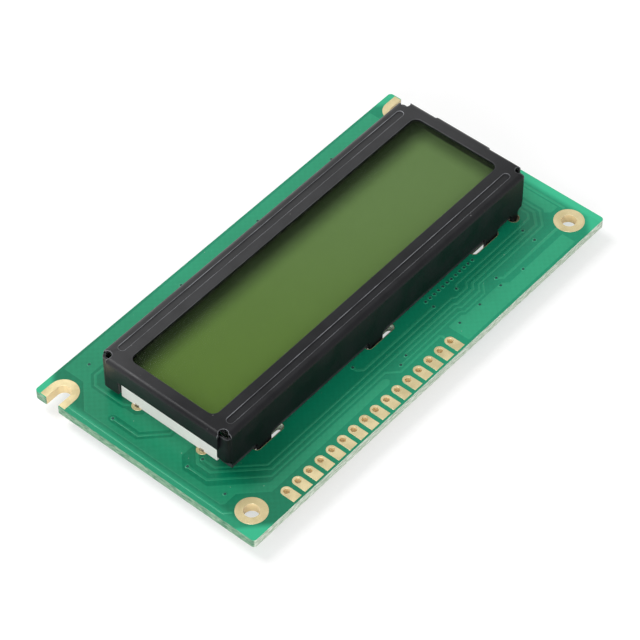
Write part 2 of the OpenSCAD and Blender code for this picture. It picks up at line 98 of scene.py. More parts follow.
class Graph:
    """Adds and joins nodes in one shader tree."""

    def __init__(self, tree: bpy.types.NodeTree) -> None:
        """Takes the tree to work in."""
        self.tree = tree

    def add(self, kind: str, inputs: dict | None = None, **settings: object) -> bpy.types.Node:
        """Adds a node and returns it.

        Args:
            kind: its Blender type name.
            inputs: values or sockets for its inputs, by name or number.
            settings: its own properties.
        """
        node = self.tree.nodes.new(kind)
        for name, value in settings.items():
            setattr(node, name, value)
        for name, value in (inputs or {}).items():
            if isinstance(value, Socket):
                self.tree.links.new(value, node.inputs[name])
            else:
                node.inputs[name].default_value = value
        return node

    def math(self, operation: str, first: Value, second: Value = 0.0) -> Socket:
        """Returns the result of a Math node on two values or sockets."""
        return self.add("ShaderNodeMath", {0: first, 1: second}, operation=operation).outputs[0]

    def times(self, first: Value, second: Value) -> Socket:
        """Returns the product of two values or sockets."""
        return self.math("MULTIPLY", first, second)

    def noise(self, vector: Socket, scale: Value, detail: float = 2.0) -> Socket:
        """Returns smooth noise from 0 to 1 at a scale in waves per metre."""
        values = {"Vector": vector, "Scale": scale, "Detail": detail}
        return self.add("ShaderNodeTexNoise", values).outputs[0]

    def remap(
        self, value: Value, low: float, high: float, to_low: Value = 0.0, to_high: float = 1.0,
    ) -> Socket:
        """Returns value clamped from low..high and spread over to_low..to_high."""
        values = {0: value, 1: low, 2: high, 3: to_low, 4: to_high}
        return self.add("ShaderNodeMapRange", values, interpolation_type="SMOOTHSTEP").outputs[0]

    def axes(self, vector: Socket) -> list[Socket]:
        """Returns the X, Y and Z of a vector."""
        return list(self.add("ShaderNodeSeparateXYZ", {0: vector}).outputs)

    def blend(self, factor: Value, first: Tone, second: Tone) -> Socket:
        """Returns a colour between two colours or colour sockets."""
        values = {0: factor, 6: rgba(first), 7: rgba(second)}
        return self.add("ShaderNodeMix", values, data_type="RGBA").outputs[2]


def blank_graph(owner: bpy.types.Material | bpy.types.World) -> Graph:
    """Returns the emptied shader tree of a material or world."""
    owner.use_nodes = True
    owner.node_tree.nodes.clear()
    return Graph(owner.node_tree)


def rgba(colour: Tone) -> Socket | tuple[float, ...]:
    """Returns a colour with alpha 1; a socket comes back as it is."""
    return colour if isinstance(colour, Socket) else (*colour, 1.0)


class Effect:
    """A shader node group that several materials use."""

    def __init__(
        self, name: str, inputs: dict[str, tuple[str, float | None]], outputs: Iterable[str],
    ) -> None:
        """Makes the group and its sockets.

        Args:
            name: the group's name.
            inputs: each input's socket kind and default value.
            outputs: names of the float outputs.
        """
        self.tree = bpy.data.node_groups.new(name, "ShaderNodeTree")
        for socket, (kind, value) in inputs.items():
            item = self.tree.interface.new_socket(socket, in_out="INPUT", socket_type=kind)
            if value is not None:
                item.default_value = value
        for socket in outputs:
            self.tree.interface.new_socket(socket, in_out="OUTPUT", socket_type="NodeSocketFloat")
        self.graph = Graph(self.tree)
        self.given = self.tree.nodes.new("NodeGroupInput").outputs
        self.result = self.tree.nodes.new("NodeGroupOutput").inputs

    def give(self, name: str, socket: Socket) -> None:
        """Joins a socket to one of the group's outputs."""
        self.tree.links.new(socket, self.result[name])


def metres(values: Iterable[float]) -> list[float]:
    """Returns sizes given in millimetres, in metres."""
    return [value * MM for value in values]


VECTOR, FLOAT = "NodeSocketVector", "NodeSocketFloat"


def grain_effect() -> Effect:
    """Returns fine relief and slow tone changes, as cast or sprayed skins have."""
    effect = Effect("grain", {"Vector": (VECTOR, None), "Scale": (FLOAT, 2000.0)}, ("Height", "Tone"))
    g, given = effect.graph, effect.given
    fine = g.noise(given["Vector"], given["Scale"], 3.0)
    slow = g.noise(given["Vector"], g.times(given["Scale"], 0.07), 2.0)
    effect.give("Height", fine)
    both = g.math("ADD", g.times(fine, 0.35), g.times(slow, 0.65))
    effect.give("Tone", g.remap(both, 0.32, 0.68))
    return effect


def wear_and_highlight_effect() -> Effect:
    """Returns a mask of rubbed stretches along the edges marked on a piece, which also carries their painted
    highlight.
    """
    effect = Effect(
        "edge_wear_and_highlight",
        {"Vector": (VECTOR, None), "Edge": (FLOAT, 0.0), "Scale": (FLOAT, 300.0), "Least": (FLOAT, 0.3)},
        ("Mask",),
    )
    g, given = effect.graph, effect.given
    patches = g.remap(g.noise(given["Vector"], given["Scale"], 3.0), 0.38, 0.62, given["Least"], 1.0)
    effect.give("Mask", g.times(given["Edge"], patches))
    return effect


def dust_effect() -> Effect:
    """Returns sparse round specks of uneven size on faces that look up."""
    effect = Effect(
        "dust",
        {"Vector": (VECTOR, None), "Up": (FLOAT, 1.0), "Scale": (FLOAT, 900.0), "Size": (FLOAT, 0.12)},
        ("Mask",),
    )
    g, given = effect.graph, effect.given
    cell = g.add("ShaderNodeTexVoronoi", {"Vector": given["Vector"], "Scale": given["Scale"]})
    chance = g.math("POWER", g.add("ShaderNodeSeparateColor", {0: cell.outputs["Color"]}).outputs[0], 5.0)
    reach = g.times(chance, given["Size"])
    speck = g.math("LESS_THAN", cell.outputs["Distance"], reach)
    effect.give("Mask", g.times(speck, g.remap(given["Up"], 0.4, 0.8)))
    return effect


def weave_effect() -> Effect:
    """Returns the relief of woven glass cloth: yarns over and under each other."""
    effect = Effect("glass_weave", {"Vector": (VECTOR, None), "Scale": (FLOAT, 6000.0)}, ("Height",))
    g, given = effect.graph, effect.given
    x, y, _ = g.axes(given["Vector"])
    across = g.math("SINE", g.times(x, given["Scale"]))
    along = g.math("SINE", g.times(y, given["Scale"]))
    effect.give("Height", g.times(across, along))
    return effect


class Surface:
    """One material while it is being built, on Object coordinates."""

    def __init__(self, name: str, constants: dict[str, float | Colour]) -> None:
        """Makes the material.

        Args:
            name: the material's name.
            constants: fixed values for the Principled shader's own sockets.
        """
        self.material = bpy.data.materials.new(name)
        self.graph = blank_graph(self.material)
        self.shader = self.graph.add("ShaderNodeBsdfPrincipled", constants)
        self.graph.add("ShaderNodeOutputMaterial", {0: self.shader.outputs[0]})
        self.place = self.graph.add("ShaderNodeTexCoord").outputs["Object"]
        self.up = self.graph.axes(self.graph.add("ShaderNodeNewGeometry").outputs["Normal"])[2]

    def feed(self, socket: str, value: Socket) -> None:
        """Joins a value that changes over the surface to a shader input."""
        self.graph.tree.links.new(value, self.shader.inputs[socket])

    def relief(self, height: Socket, depth: float) -> None:
        """Bumps the surface by a height map of that depth in metres."""
        bump = self.graph.add("ShaderNodeBump", {"Height": height, "Distance": depth, "Strength": 1.0})
        self.feed("Normal", bump.outputs[0])

    def lay(self, effect: Effect, **inputs: Value) -> bpy.types.bpy_prop_collection:
        """Lays a shader group over the surface and returns its outputs."""
        place = {"Vector": self.place, **inputs}
        return self.graph.add("ShaderNodeGroup", place, node_tree=effect.tree).outputs

    def dust(self, effect: Effect, size: float, share: float, colour: Tone, speck: Colour) -> Socket:
        """Returns a colour with specks of that size over it, which hide a share of it."""
        mask = self.lay(effect, Up=self.up, Size=size)["Mask"]
        return self.graph.blend(self.graph.times(mask, share), colour, speck)

    def level(self) -> Socket:
        """Returns 1 on faces that lie flat and 0 on upright ones."""
        return self.graph.remap(self.graph.math("ABSOLUTE", self.up), 0.3, 0.5)

    def edge(self) -> Socket:
        """Returns the mark of a piece's rounded outer edges."""
        return self.graph.add("ShaderNodeAttribute", attribute_name="edge").outputs["Fac"]


class Effects:
    """The shader groups that the finishes share."""

    def __init__(self) -> None:
        """Builds the four groups."""
        self.grain, self.wear_and_highlight = grain_effect(), wear_and_highlight_effect()
        self.dust, self.weave = dust_effect(), weave_effect()


# ---- Finishes ----


@dataclass(frozen=True)
class Skin:
    """A moulded, cast, plated or tinned skin with grain and uneven tone.

    Attributes:
        name: the material's name.
        dark: the darker of its two tones.
        light: the lighter tone.
        rough: its lowest and highest roughness.
        grain: waves of grain per metre.
        depth: depth of the grain in metres.
        metallic: 1 for bare metal.
        coat: weight of a clear gloss over it.
        dust: size of the dust specks, 0 for a clean skin.
        worn_and_highlight: colour of its rubbed edges, which is also a painted highlight along them.
        bore: colour of its upright walls, painted paler than its flat faces as painted light inside holes.
    """

    name: str
    dark: Colour
    light: Colour
    rough: Span = (0.4, 0.5)
    grain: float = 3000.0
    depth: float = 4e-6
    metallic: float = 0.0
    coat: float = 0.0
    dust: float = 0.0
    worn_and_highlight: Colour | None = None
    bore: Colour | None = None

    def build(self, effects: Effects) -> bpy.types.Material:
        """Returns the finished material."""
        s = Surface(self.name, {"Metallic": self.metallic, "Coat Weight": self.coat, "Coat Roughness": 0.12})
        g = s.graph
        grain = s.lay(effects.grain, Scale=self.grain)
        colour = g.blend(grain["Tone"], self.dark, self.light)
        # Rubbed edges, whose paler colour is also a painted highlight.
        if self.worn_and_highlight:
            wear_and_highlight = s.lay(effects.wear_and_highlight, Edge=s.edge())
            colour = g.blend(wear_and_highlight["Mask"], colour, self.worn_and_highlight)
        if self.dust:
            colour = s.dust(effects.dust, self.dust, 0.5, colour, (0.6, 0.6, 0.58))
        # Painted light: upright walls get a paler, less metallic colour, standing for light that reaches
        # into holes.
        if self.bore:
            level = s.level()
            colour = g.blend(level, self.bore, colour)
            s.feed("Metallic", g.remap(level, 0.0, 1.0, 0.15, self.metallic))
        s.feed("Base Color", colour)
        s.feed("Roughness", g.remap(grain["Tone"], 0.0, 1.0, *self.rough))
        s.relief(grain["Height"], self.depth)
        return s.material


@dataclass(frozen=True)
class SolderMask:
    """Green solder mask over woven laminate, with bare laminate on the cut edges, and painted light over it.

    Attributes:
        name: the material's name.
        dark: its tone at the left end, where its painted light is weakest.
        light: its tone from the middle to the right end, where its painted light is full.
        lit: its painted light at the ends and corners, standing for light that shows through the laminate
            there.
        rough: its roughness.
        drift: X between which the painted light grows from the dark tone to the light one, in millimetres.
        end_rim: distances from the middle between which an end's painted light sets in.
        corner_rim: the same for the corners, as X and Y distance added up.
        left_end: X between which the routed left edge gives way to sawn edges.
    """

    name: str
    dark: Colour
    light: Colour
    lit: Colour
    rough: float = 0.3
    drift: Span = (-44.0, -6.0)
    end_rim: Span = (39.8, 41.2)
    corner_rim: Span = (59.0, 61.0)
    left_end: Span = (-41.9, -41.7)

    def build(self, effects: Effects) -> bpy.types.Material:
        """Returns the finished material."""
        s = Surface(self.name, {"Specular IOR Level": 0.25, "Coat Weight": 0.08, "Coat Roughness": 0.16})
        g = s.graph
        grain = s.lay(effects.grain, Scale=1500.0)
        weave = s.lay(effects.weave, Scale=5200.0)
        # Painted light: the mask is darker at the left end and grows lighter towards the right.
        along = g.remap(g.axes(s.place)[0], *metres(self.drift), 0.0, 0.8)
        uneven = g.math("ADD", grain["Tone"], g.times(weave["Height"], 0.3))
        mask = g.blend(g.math("ADD", along, g.times(uneven, 0.2)), self.dark, self.light)
        mask = s.dust(effects.dust, 0.09, 0.35, mask, (0.62, 0.72, 0.62))
        # Painted light at the ends and corners, for light showing through the laminate.
        mask = g.blend(self.lit_rim(g, s.place), mask, self.lit)
        level = s.level()
        s.feed("Base Color", g.blend(level, self.cut_edge(g, s.place), mask))
        s.feed("Roughness", g.remap(level, 0.0, 1.0, 0.75, self.rough))
        height = g.math("ADD", grain["Height"], g.times(weave["Height"], 0.5))
        s.relief(height, 3e-6)
        return s.material

    def lit_rim(self, g: Graph, place: Socket) -> Socket:
        """Returns how far the painted rim light shows: at corners and ends, most at the right end."""
        x, y, _ = g.axes(place)
        ends = g.remap(g.math("ABSOLUTE", x), *metres(self.end_rim))
        ends = g.times(ends, g.remap(x, -0.04, 0.04, 0.35, 1.0))
        both = g.math("ADD", g.math("ABSOLUTE", x), g.math("ABSOLUTE", y))
        return g.math("MAXIMUM", g.remap(both, *metres(self.corner_rim), 0.0, 0.85), ends)

    def cut_edge(self, g: Graph, place: Socket) -> Socket:
        """Returns the colour of sawn laminate: glass plies in streaks along the board."""
        plies = g.add("ShaderNodeMapping", {"Vector": place, "Scale": (1.0, 1.0, 7.0)}).outputs[0]
        streaks = g.remap(g.noise(plies, 900.0, 4.0), 0.35, 0.65)
        sawn = g.blend(streaks, (0.42, 0.55, 0.40), (0.84, 0.91, 0.80))
        routed = g.blend(streaks, (0.07, 0.22, 0.13), (0.30, 0.46, 0.32))
        return g.blend(g.remap(g.axes(place)[0], *metres(self.left_end)), routed, sawn)


@dataclass(frozen=True)
class SatinPaint:
    """Satin black paint on folded sheet, rubbed bright along its edges, where it also has a painted
    highlight.

    Attributes:
        name: the material's name.
        dark: the paint's darker tone.
        light: the paint's lighter tone.
        rubbed_and_highlight: the colour of its rubbed edges, which also serves as their painted highlight.
        upper_wear_and_highlight: heights between which the rubbing and the painted highlight set in, in
            millimetres.
        sheen_span: distances across the sheet between which its painted sheen grows.
        sheen: its lowest and highest specular level, painted to grow towards the far right.
    """

    name: str
    dark: Colour
    light: Colour
    rubbed_and_highlight: Colour
    upper_wear_and_highlight: Span = (11.2, 12.0)
    sheen_span: Span = (-10.0, 8.0)
    sheen: Span = (0.19, 0.42)

    def build(self, effects: Effects) -> bpy.types.Material:
        """Returns the finished material."""
        s = Surface(self.name, {})
        g = s.graph
        grain = s.lay(effects.grain, Scale=4200.0)
        colour = g.blend(grain["Tone"], self.dark, self.light)
        # Rubbed edges near the top, whose paler colour is also a painted highlight.
        wear_and_highlight = s.lay(effects.wear_and_highlight, Edge=s.edge(), Scale=260.0, Least=0.45)
        x, y, z = g.axes(s.place)
        upper_wear_and_highlight = g.remap(z, *metres(self.upper_wear_and_highlight), 0.0, 0.85)
        colour = g.blend(g.times(wear_and_highlight["Mask"], upper_wear_and_highlight), colour, self.rubbed_and_highlight)
        colour = s.dust(effects.dust, 0.11, 0.4, colour, (0.35, 0.35, 0.34))
        s.feed("Base Color", colour)
        s.feed("Roughness", g.remap(grain["Tone"], 0.0, 1.0, 0.36, 0.5))
        # Painted sheen: the specular level grows across the sheet towards the far right.
        across = g.math("ADD", y, g.times(x, 0.16))
        s.feed("Specular IOR Level", g.remap(across, *metres(self.sheen_span), *self.sheen))
        s.relief(grain["Height"], 9e-6)
        return s.material


@dataclass(frozen=True)
class Reflector:
    """An opaque reflector that stands for all that lies behind the front glass.

    Attributes:
        name: the material's name.
        near: its tone at the near left.
        far: its tone at the far right. The drift from near to far is painted light and reflection across the
            panel.
        heading: direction of the drift on the panel, in degrees.
        reach: how far the drift runs each way from the middle, in millimetres.
        corner: far right corner of the window over it, in millimetres.
        rough: its roughness.
        dim: its tone in the deepest shade.
        right_shade: distances from the window's right edge over which the shade fades.
        far_shade: the same from its far edge.
    """

    name: str
    near: Colour
    far: Colour
    heading: float
    reach: float
    corner: Point
    rough: float = 0.55
    dim: Colour = (0.006, 0.009, 0.004)
    right_shade: Span = (0.0, 3.4)
    far_shade: Span = (0.3, 4.6)

    def build(self, effects: Effects) -> bpy.types.Material:
        """Returns the finished material."""
        s = Surface(self.name, {"Roughness": self.rough, "Specular IOR Level": 0.1})
        g = s.graph
        # Painted light and reflection: the tone drifts from the near left to the far right.
        turn = {"Vector": s.place, "Angle": -math.radians(self.heading)}
        turned = g.add("ShaderNodeVectorRotate", turn, rotation_type="Z_AXIS").outputs[0]
        drift = g.remap(g.axes(turned)[0], *metres((-self.reach, self.reach)))
        tone = g.blend(drift, self.near, self.far)
        grain = s.lay(effects.grain, Scale=9000.0)
        darker = g.add("ShaderNodeHueSaturation", {"Value": 0.97, "Color": tone}).outputs[0]
        colour = g.blend(grain["Tone"], darker, tone)
        s.feed("Base Color", g.blend(self.shade(g, s.place), self.dim, colour))
        return s.material

    def shade(self, g: Graph, place: Socket) -> Socket:
        """Returns how far the full tone shows. The frame's shade on the deeper real layer
        is drawn here, beside the window's far and right edges, and doesn't follow the lamps."""
        x, y, _ = g.axes(place)
        right, far = metres(self.corner)
        right = g.remap(g.math("SUBTRACT", right, x), *metres(self.right_shade), 0.45, 1.0)
        far = g.remap(g.math("SUBTRACT", far, y), *metres(self.far_shade), 0.15, 1.0)
        return g.times(right, far)


@dataclass(frozen=True)
class ClearSheet:
    """A clear or tinted sheet that shows what lies under it.

    Attributes:
        name: the material's name.
        deep: the sheet's own colour where it is clearest.
        tint: its colour where it is haziest.
        alpha: how much of the view the sheet itself takes.
        rough: its lowest and highest roughness.
        gloss: its specular level.
        grain: waves of its haze per metre.
    """

    name: str
    deep: Colour
    tint: Colour
    alpha: float
    rough: Span
    gloss: float
    grain: float = 200.0

    def build(self, effects: Effects) -> bpy.types.Material:
        """Returns the finished material."""
        s = Surface(self.name, {"Alpha": self.alpha, "Specular IOR Level": self.gloss})
        g = s.graph
        grain = s.lay(effects.grain, Scale=self.grain)
        s.feed("Base Color", g.blend(grain["Tone"], self.deep, self.tint))
        s.feed("Roughness", g.remap(grain["Tone"], 0.0, 1.0, *self.rough))
        return s.material


def build_finishes() -> dict[str, bpy.types.Material]:
    """Returns every finish of the module by name."""
    effects = Effects()
    kinds = (
        SolderMask("mask_over_laminate", (0.0, 0.145, 0.068), (0.005, 0.288, 0.15), (0.04, 0.52, 0.28)),
        SolderMask("mask_over_copper", (0.007, 0.202, 0.098), (0.023, 0.362, 0.188), (0.04, 0.5, 0.27)),
        SatinPaint(
            "satin_black_paint", (0.0035, 0.0037, 0.0048), (0.0075, 0.0078, 0.0095), (0.30, 0.31, 0.33),
        ),
        Skin(
            "pale_gold", (0.56, 0.47, 0.25), (0.68, 0.58, 0.34), (0.28, 0.42), 5200.0, 5e-6, 0.82,
            worn_and_highlight=(0.86, 0.78, 0.54), dust=0.1, bore=(0.90, 0.73, 0.42),
        ),
        Skin("dull_gold", (0.16, 0.15, 0.08), (0.26, 0.24, 0.13), (0.4, 0.55), 5200.0, 5e-6, 0.6),
        # Painted shade for the inside of the via holes.
        Skin("via_bore", (0.003, 0.040, 0.034), (0.006, 0.065, 0.055), (0.7, 0.8)),
        Skin("white_moulding", (0.84, 0.81, 0.79), (0.90, 0.87, 0.85), (0.42, 0.55), 2600.0, 8e-6),
        ClearSheet("polariser_film", (0.03, 0.05, 0.02), (0.05, 0.07, 0.04), 0.1, (0.22, 0.3), 0.08),
        ClearSheet("float_glass", (0.10, 0.16, 0.09), (0.12, 0.19, 0.11), 0.03, (0.05, 0.1), 0.06),
        Reflector("reflective_olive", (0.15, 0.27, 0.04), (0.20, 0.33, 0.11), 48.0, 26.0, (33.4, 9.95)),
        Skin("mirror_film", (0.42, 0.44, 0.42), (0.50, 0.52, 0.50), (0.3, 0.4), 6000.0, 0.5e-6, 0.6),
        Skin("seal_epoxy", (0.016, 0.022, 0.008), (0.030, 0.038, 0.014), (0.5, 0.6)),
        Skin("dull_solder", (0.32, 0.27, 0.14), (0.46, 0.40, 0.24), (0.4, 0.55), 4000.0, 1e-5, 0.8),
        Skin("zebra_rubber", (0.012, 0.012, 0.014), (0.04, 0.04, 0.045), (0.6, 0.75), 9000.0, 8e-6),
        Skin("milky_sheet", (0.70, 0.74, 0.50), (0.80, 0.84, 0.62), (0.4, 0.5)),
        Skin("white_coated_board", (0.60, 0.58, 0.44), (0.68, 0.66, 0.52), (0.45, 0.55)),
        Skin("led_crystal", (0.50, 0.56, 0.12), (0.66, 0.70, 0.20), (0.15, 0.25)),
        Skin("tinned_metal", (0.55, 0.56, 0.57), (0.70, 0.71, 0.72), (0.22, 0.4), 4000.0, 1e-5, 1.0),
        Skin("bare_silicon", (0.10, 0.11, 0.13), (0.16, 0.17, 0.20), (0.1, 0.2), metallic=0.6),
        Skin(
            "black_potting", (0.006, 0.006, 0.006), (0.011, 0.011, 0.012), (0.16, 0.30), 700.0, 3e-5,
            coat=0.4, dust=0.09,
        ),
        Skin("black_glaze", (0.012, 0.012, 0.014), (0.022, 0.022, 0.026), (0.18, 0.3), 5000.0, 6e-6),
        Skin("tan_ceramic", (0.30, 0.19, 0.10), (0.40, 0.27, 0.15), (0.4, 0.55), 5000.0, 8e-6),
    )
    return {kind.name: kind.build(effects) for kind in kinds}


# ---- Making and placing pieces ----


def stand(name: str, form: Form, material: bpy.types.Material) -> bpy.types.Object:
    """Turns a form into an object of the scene, and frees the form."""
    mesh = bpy.data.meshes.new(name)
    form.to_mesh(mesh)
    form.free()
    mesh.materials.append(material)
    thing = bpy.data.objects.new(name, mesh)
    bpy.context.scene.collection.objects.link(thing)
    return thing


class Bench:
    """Takes meshes modelled in millimetres and fits them to the frame."""

    def __init__(self, nodes: dict[str, bpy.types.Object]) -> None:
        """Takes the frame's CAD nodes and builds the finishes."""
        self.nodes = nodes
        self.finishes = build_finishes()

    def box(self, node: str) -> tuple[Vector, Vector]:
        """Returns the lowest and highest corners of a CAD node in millimetres."""
        low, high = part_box(node)
        return low / MM, high / MM

    def dress(self, node: str, finish: str) -> None:
        """Gives a CAD node that keeps its own shape a finish."""
        mesh = self.nodes[node].data
        mesh.materials.clear()
        mesh.materials.append(self.finishes[finish])
        LOG.info("dressed %s in %s", node, finish)

    def copy(self, node: str) -> Form:
        """Returns a CAD node's mesh in millimetres, merged and with flat faces whole."""
        form = bmesh.new()
        form.from_mesh(self.nodes[node].data)
        bmesh.ops.scale(form, vec=(1 / MM,) * 3, verts=form.verts)
        bmesh.ops.remove_doubles(form, verts=form.verts, dist=0.0005)
        bmesh.ops.dissolve_limit(form, angle_limit=math.radians(0.5), verts=form.verts, edges=form.edges)
        return form

    def soften(self, form: Form, width: float, segments: int = 2, least: float = 40.0) -> None:
        """Rounds the edges of a form and marks its outer rounds in the face layer "edge".

        Args:
            form: the mesh to change.
            width: distance of the round from the old edge, in millimetres.
            segments: faces across the round.
            least: smallest angle of an edge that is rounded, in degrees.
        """
        before = BVHTree.FromBMesh(form)
        reach = [(min(values), max(values)) for values in zip(*(vert.co for vert in form.verts))]
        marks = form.faces.layers.float.new("edge")
        turns = form.edges.layers.int.new("turn")
        for edge in form.edges:
            if edge.is_manifold and edge.calc_face_angle(0.0) > math.radians(least):
                edge[turns] = 1 if edge.is_convex else -1
        for turn in (-1, 1):
            chosen = [edge for edge in form.edges if edge[turns] == turn]
            made = bmesh.ops.bevel(
                form, geom=chosen, offset=width, offset_type="OFFSET", segments=segments,
                profile=0.5, affect="EDGES", clamp_overlap=False, material=-1,
            )
            for face in made["faces"]:
                face[marks] = max(turn, 0)
        for vert in form.verts:
            spot, _, _, gap = before.find_nearest(vert.co)
            if gap > 0.75 * width:
                vert.co = spot
            vert.co = [min(max(value, low), high) for value, (low, high) in zip(vert.co, reach)]

    def place(
        self, name: str, form: Form, finish: str, slot: Slot,
        stands_for: Iterable[str] = (), sharp: float = 35.0,
    ) -> None:
        """Turns a form in millimetres into a piece that rides on the module.

        Args:
            name: the piece's name.
            form: its mesh; it is freed.
            finish: name of its material.
            slot: the record's slot for the piece; not used.
            stands_for: CAD nodes that it replaces.
            sharp: angle in degrees above which an edge stays crisp.
        """
        bmesh.ops.scale(form, vec=(MM,) * 3, verts=form.verts)
        piece = stand(name, form, self.finishes[finish])
        piece.data.shade_smooth()
        piece.data.set_sharp_from_angle(angle=math.radians(sharp))
        weighted = piece.modifiers.new("flat_faces", "WEIGHTED_NORMAL")
        weighted.keep_sharp = True
        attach(piece, "root")
        if stands_for:
            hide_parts(*stands_for)
        LOG.info("placed %s: %d faces", name, len(piece.data.polygons))

    def soft_copy(self, node: str, finish: str, slot: Slot, width: float, segments: int = 2) -> None:
        """Places a copy of a CAD node with its edges rounded by width."""
        form = self.copy(node)
        self.soften(form, width, segments)
        self.place(f"{node}_finished", form, finish, slot, (node,))


# ---- Copper under the solder mask ----


@dataclass(frozen=True)
class Track:
    """A copper track on the board.

    Attributes:
        width: its width in millimetres.
        route: the corners of its middle line.
    """

    width: float
    route: tuple[Point, ...]

    def outline(self) -> list[Vector]:
        """Returns the track's outline: both sides of the route, mitred at the corners."""
        line = [Vector((x, y)) for x, y in self.route]
        ways = [(b - a).normalized() for a, b in zip(line, line[1:])]
        left, right = [], []
        for i, corner in enumerate(line):
            before, after = ways[max(i - 1, 0)], ways[min(i, len(ways) - 1)]
            middle = (before + after).normalized()
            side = Vector((-middle.y, middle.x)) * (self.width / 2 / middle.dot(after))
            left.append(corner + side)
            right.append(corner - side)
        return left + right[::-1]


def tracks_from(rows: Iterable[tuple]) -> tuple[Track, ...]:
    """Returns tracks from rows of a width and the corners of a route."""
    return tuple(Track(width, tuple(corners)) for width, *corners in rows)


@dataclass(frozen=True)
class Copper:
    """The etched copper of one face, as relief that shows through the mask.

    Attributes:
        face: the board's face that it lies on.
        tracks: its tracks.
        pours: outlines of its filled areas, in millimetres.
        vias: centres of its vias.
        foil: height of a track.
        pour_foil: height of a filled area.
        slope: width of the mask's slope beside the copper.
        via_radii: radii of a via's dark disc of painted shade and of its ring.
        via_top: height of a via's ring.
        disc_top: height of a via's dark disc, just above the tracks that end in it.
        sunk: how far each form reaches into the board.
    """

    face: Face
    tracks: tuple[Track, ...]
    pours: tuple[tuple[Point, ...], ...]
    vias: tuple[Point, ...]
    foil: float = 0.03
    pour_foil: float = 0.018
    slope: float = 0.11
    via_radii: Span = (0.22, 0.38)
    via_top: float = 0.044
    disc_top: float = 0.034
    sunk: float = 0.01

    def build(self, bench: Bench) -> None:
        """Makes the relief, the via rings and their dark discs on their face."""
        low, high = bench.box("pcb")
        level = high.z if self.face is Face.FRONT else low.z
        name = self.face.name.lower()
        relief = bmesh.new()
        for track in self.tracks:
            self.raise_area(relief, track.outline(), self.foil)
        for outline in self.pours:
            self.raise_area(relief, [Vector(p) for p in outline], self.pour_foil)
        self.set_down(relief, level)
        bench.place(f"copper_relief_{name}", relief, "mask_over_copper", Slot.MASK, sharp=20.0)
        rings, bores = bmesh.new(), bmesh.new()
        for via in self.vias:
            self.add_ring(rings, via)
            self.add_bore(bores, via)
        self.set_down(rings, level)
        self.set_down(bores, level)
        bench.place(f"via_rings_{name}", rings, "mask_over_copper", Slot.MASK)
        bench.place(f"via_bores_{name}", bores, "via_bore", Slot.MASK)

    def set_down(self, form: Form, level: float) -> None:
        """Lays a form modelled on z = 0 onto the face at that level."""
        if self.face is Face.REAR:
            bmesh.ops.scale(form, vec=(1.0, 1.0, -1.0), verts=form.verts)
            bmesh.ops.reverse_faces(form, faces=form.faces)
        bmesh.ops.translate(form, vec=(0.0, 0.0, level), verts=form.verts)

    def raise_area(self, form: Form, outline: list[Vector], height: float) -> None:
        """Adds a flat-topped area with sloped sides, sunk a little into the board."""
        base = form.faces.new([form.verts.new((p.x, p.y, -self.sunk)) for p in outline])
        made = bmesh.ops.extrude_face_region(form, geom=[base], use_keep_orig=True)
        verts = [v for v in made["geom"] if isinstance(v, bmesh.types.BMVert)]
        tops = [f for f in made["geom"] if isinstance(f, bmesh.types.BMFace)]
        bmesh.ops.translate(form, vec=(0.0, 0.0, self.sunk), verts=verts)
        bmesh.ops.recalc_face_normals(form, faces=list({base, *(f for v in verts for f in v.link_faces)}))
        bmesh.ops.inset_region(form, faces=tops, thickness=self.slope, depth=height, use_even_offset=True)

    def add_ring(self, form: Form, centre: Point) -> None:
        """Adds the raised ring round a via, spun from its section."""
        bore, ring = self.via_radii
        top, foot = self.via_top, -self.sunk
        section = (
            (bore, foot), (bore, top - 0.007), (bore + 0.03, top), (ring - 0.05, top), (ring + 0.05, foot),
        )
        spots = [form.verts.new((centre[0] + r, centre[1], z)) for r, z in section]
        loop = [form.edges.new((a, b)) for a, b in zip(spots, spots[1:] + spots[:1])]
        bmesh.ops.spin(
            form, geom=spots + loop, cent=(*centre, 0.0), axis=(0.0, 0.0, 1.0),
            angle=math.tau, steps=18, use_merge=True,
        )

    def add_bore(self, form: Form, centre: Point) -> None:
        """Adds the dark disc of painted shade that shows a via's bore; the board has no hole there."""
        made = bmesh.ops.create_circle(form, cap_ends=True, radius=self.via_radii[0] + 0.02, segments=14)
        bmesh.ops.translate(form, vec=(*centre, self.disc_top), verts=made["verts"])


